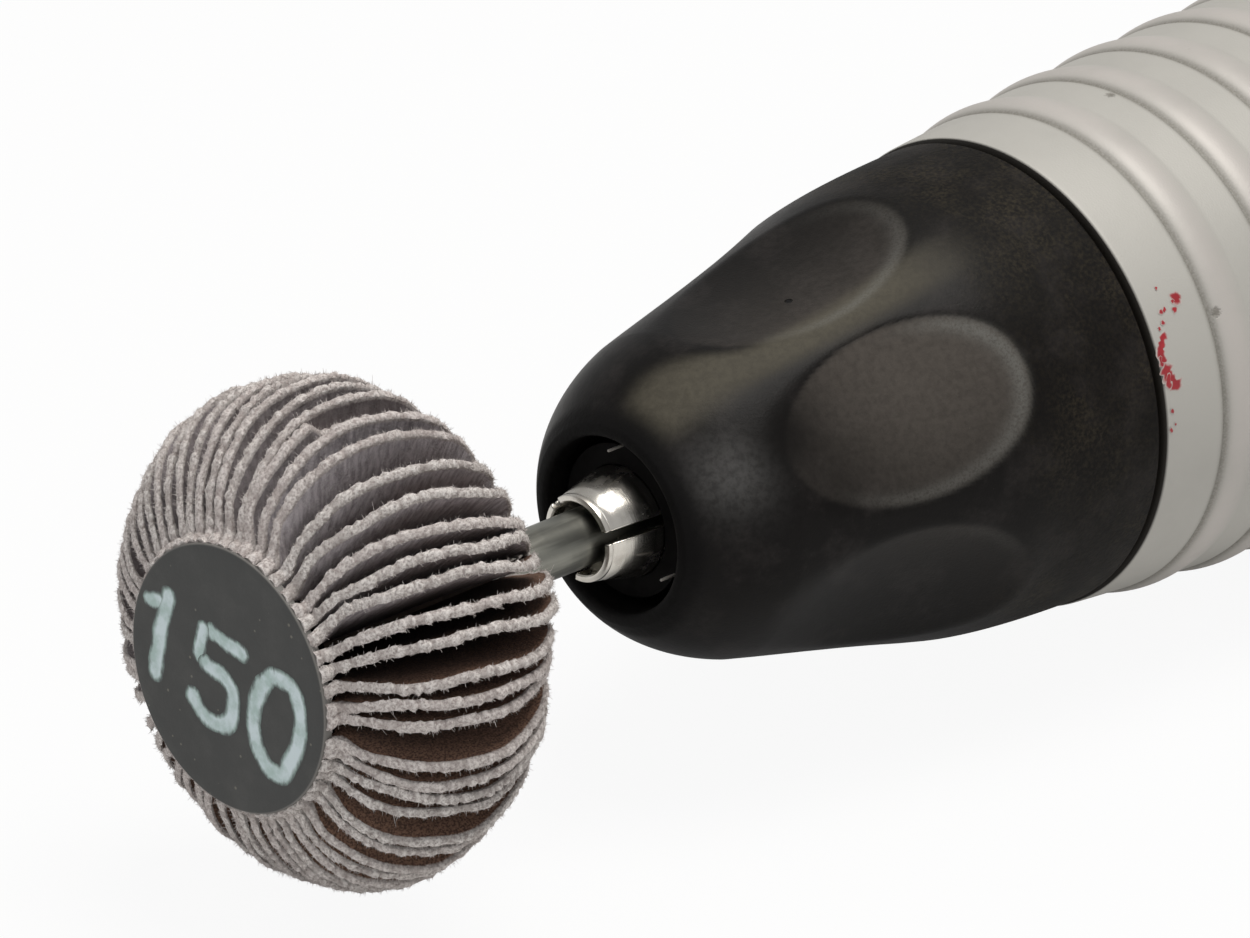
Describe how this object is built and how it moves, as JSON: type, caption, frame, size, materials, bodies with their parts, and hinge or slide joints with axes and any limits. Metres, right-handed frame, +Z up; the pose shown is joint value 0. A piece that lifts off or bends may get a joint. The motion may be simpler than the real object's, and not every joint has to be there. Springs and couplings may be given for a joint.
{
  "type": "rotary tool with flex shaft",
  "caption": "Round flexible-shaft handpiece with a ribbed metal sleeve, a scalloped twist grip that opens its collet, a hexagonal rear socket and a flap wheel in the collet.",
  "frame": {"origin": "on the spindle axis, where the round wall of the rear flexible-shaft socket begins, 0.6 mm inside the rear face", "axes": "+X along the spindle axis and out of the rear socket, so the flap wheel is at -X; +Z up, square to a flat of the hexagon, which rests on the table"},
  "size_m": [0.1606, 0.0346, 0.031],
  "materials": {
    "grip_plastic": "worn black moulded plastic, grained in the scallops and polished on the ridges",
    "cap_plastic": "black moulded plastic",
    "sleeve_aluminium": "bead-blasted aluminium with small nicks",
    "steel": "ground steel",
    "dark_steel": "blackened steel",
    "chrome": "bright polished",
    "brass": "machined",
    "seal_rubber": "matt black",
    "abrasive_cloth": "brown abrasive grit on a grey cloth backing with frayed edges",
    "resin": "cast resin",
    "label": "dark grey card with pale numerals"
  },
  "bodies": {
    "housing": {"ribbed_sleeve": "sleeve_aluminium", "end_cap": "cap_plastic", "end_cap_seal": "seal_rubber", "front_outer_ring": "steel", "rear_outer_ring": "steel", "bearing_shields": "dark_steel", "bearing_clip": "steel", "preload_washer": "steel", "grip_clip": "steel"},
    "grip": {"nose_grip": "grip_plastic", "cam_sleeve": "brass", "nose_seal": "seal_rubber"},
    "release": {"release_ring": "brass", "cam_pins": "steel"},
    "spindle": {"spindle_nose": "dark_steel", "spindle_barrel": "steel", "drive_stub": "steel", "spindle_nut": "dark_steel", "spindle_clip": "steel", "front_inner_ring": "steel", "rear_inner_ring": "steel", "collet_spring": "steel"},
    "front_ball_set": {"front_balls": "chrome", "front_cage": "brass"},
    "rear_ball_set": {"rear_balls": "chrome", "rear_cage": "brass"},
    "draw_bar": {"collet": "chrome", "draw_rod": "steel", "draw_nut": "brass", "release_pin": "steel", "thrust_collar": "dark_steel"},
    "wheel_tool": {"mandrel": "steel", "wheel_core": "resin", "flap_pack": "abrasive_cloth", "front_flange": "dark_steel", "label_disc": "label", "rear_washer": "steel"}
  },
  "joints": [
    {"name": "grip_twist", "type": "hinge", "parent": "housing", "child": "grip", "pos_m": [-0.1063, 0, 0], "axis": [1, 0, 0], "range_deg": [0, 45]},
    {"name": "release_slide", "type": "slide", "parent": "housing", "child": "release", "axis": [-1, 0, 0], "range_m": [0, 0.0016]},
    {"name": "spindle_spin", "type": "hinge", "parent": "housing", "child": "spindle", "pos_m": [-0.1, 0, 0], "axis": [1, 0, 0], "continuous": true},
    {"name": "front_ball_orbit", "type": "hinge", "parent": "housing", "child": "front_ball_set", "pos_m": [-0.12, 0, 0], "axis": [1, 0, 0], "continuous": true},
    {"name": "rear_ball_orbit", "type": "hinge", "parent": "housing", "child": "rear_ball_set", "pos_m": [-0.0415, 0, 0], "axis": [1, 0, 0], "continuous": true},
    {"name": "collet_slide", "type": "slide", "parent": "spindle", "child": "draw_bar", "axis": [-1, 0, 0], "range_m": [0, 0.0012], "deforming": ["collet_spring"]},
    {"name": "mandrel_pull", "type": "slide", "parent": "draw_bar", "child": "wheel_tool", "axis": [-1, 0, 0], "range_m": [0, 0.016]}
  ],
  "couplings": [
    {"joint": "release_slide", "follows": "grip_twist", "m_per_rad": 0.002037},
    {"joint": "collet_slide", "follows": "grip_twist", "m_per_rad": 0.001527},
    {"joint": "front_ball_orbit", "follows": "spindle_spin", "ratio": 0.405},
    {"joint": "rear_ball_orbit", "follows": "spindle_spin", "ratio": 0.405}
  ]
}
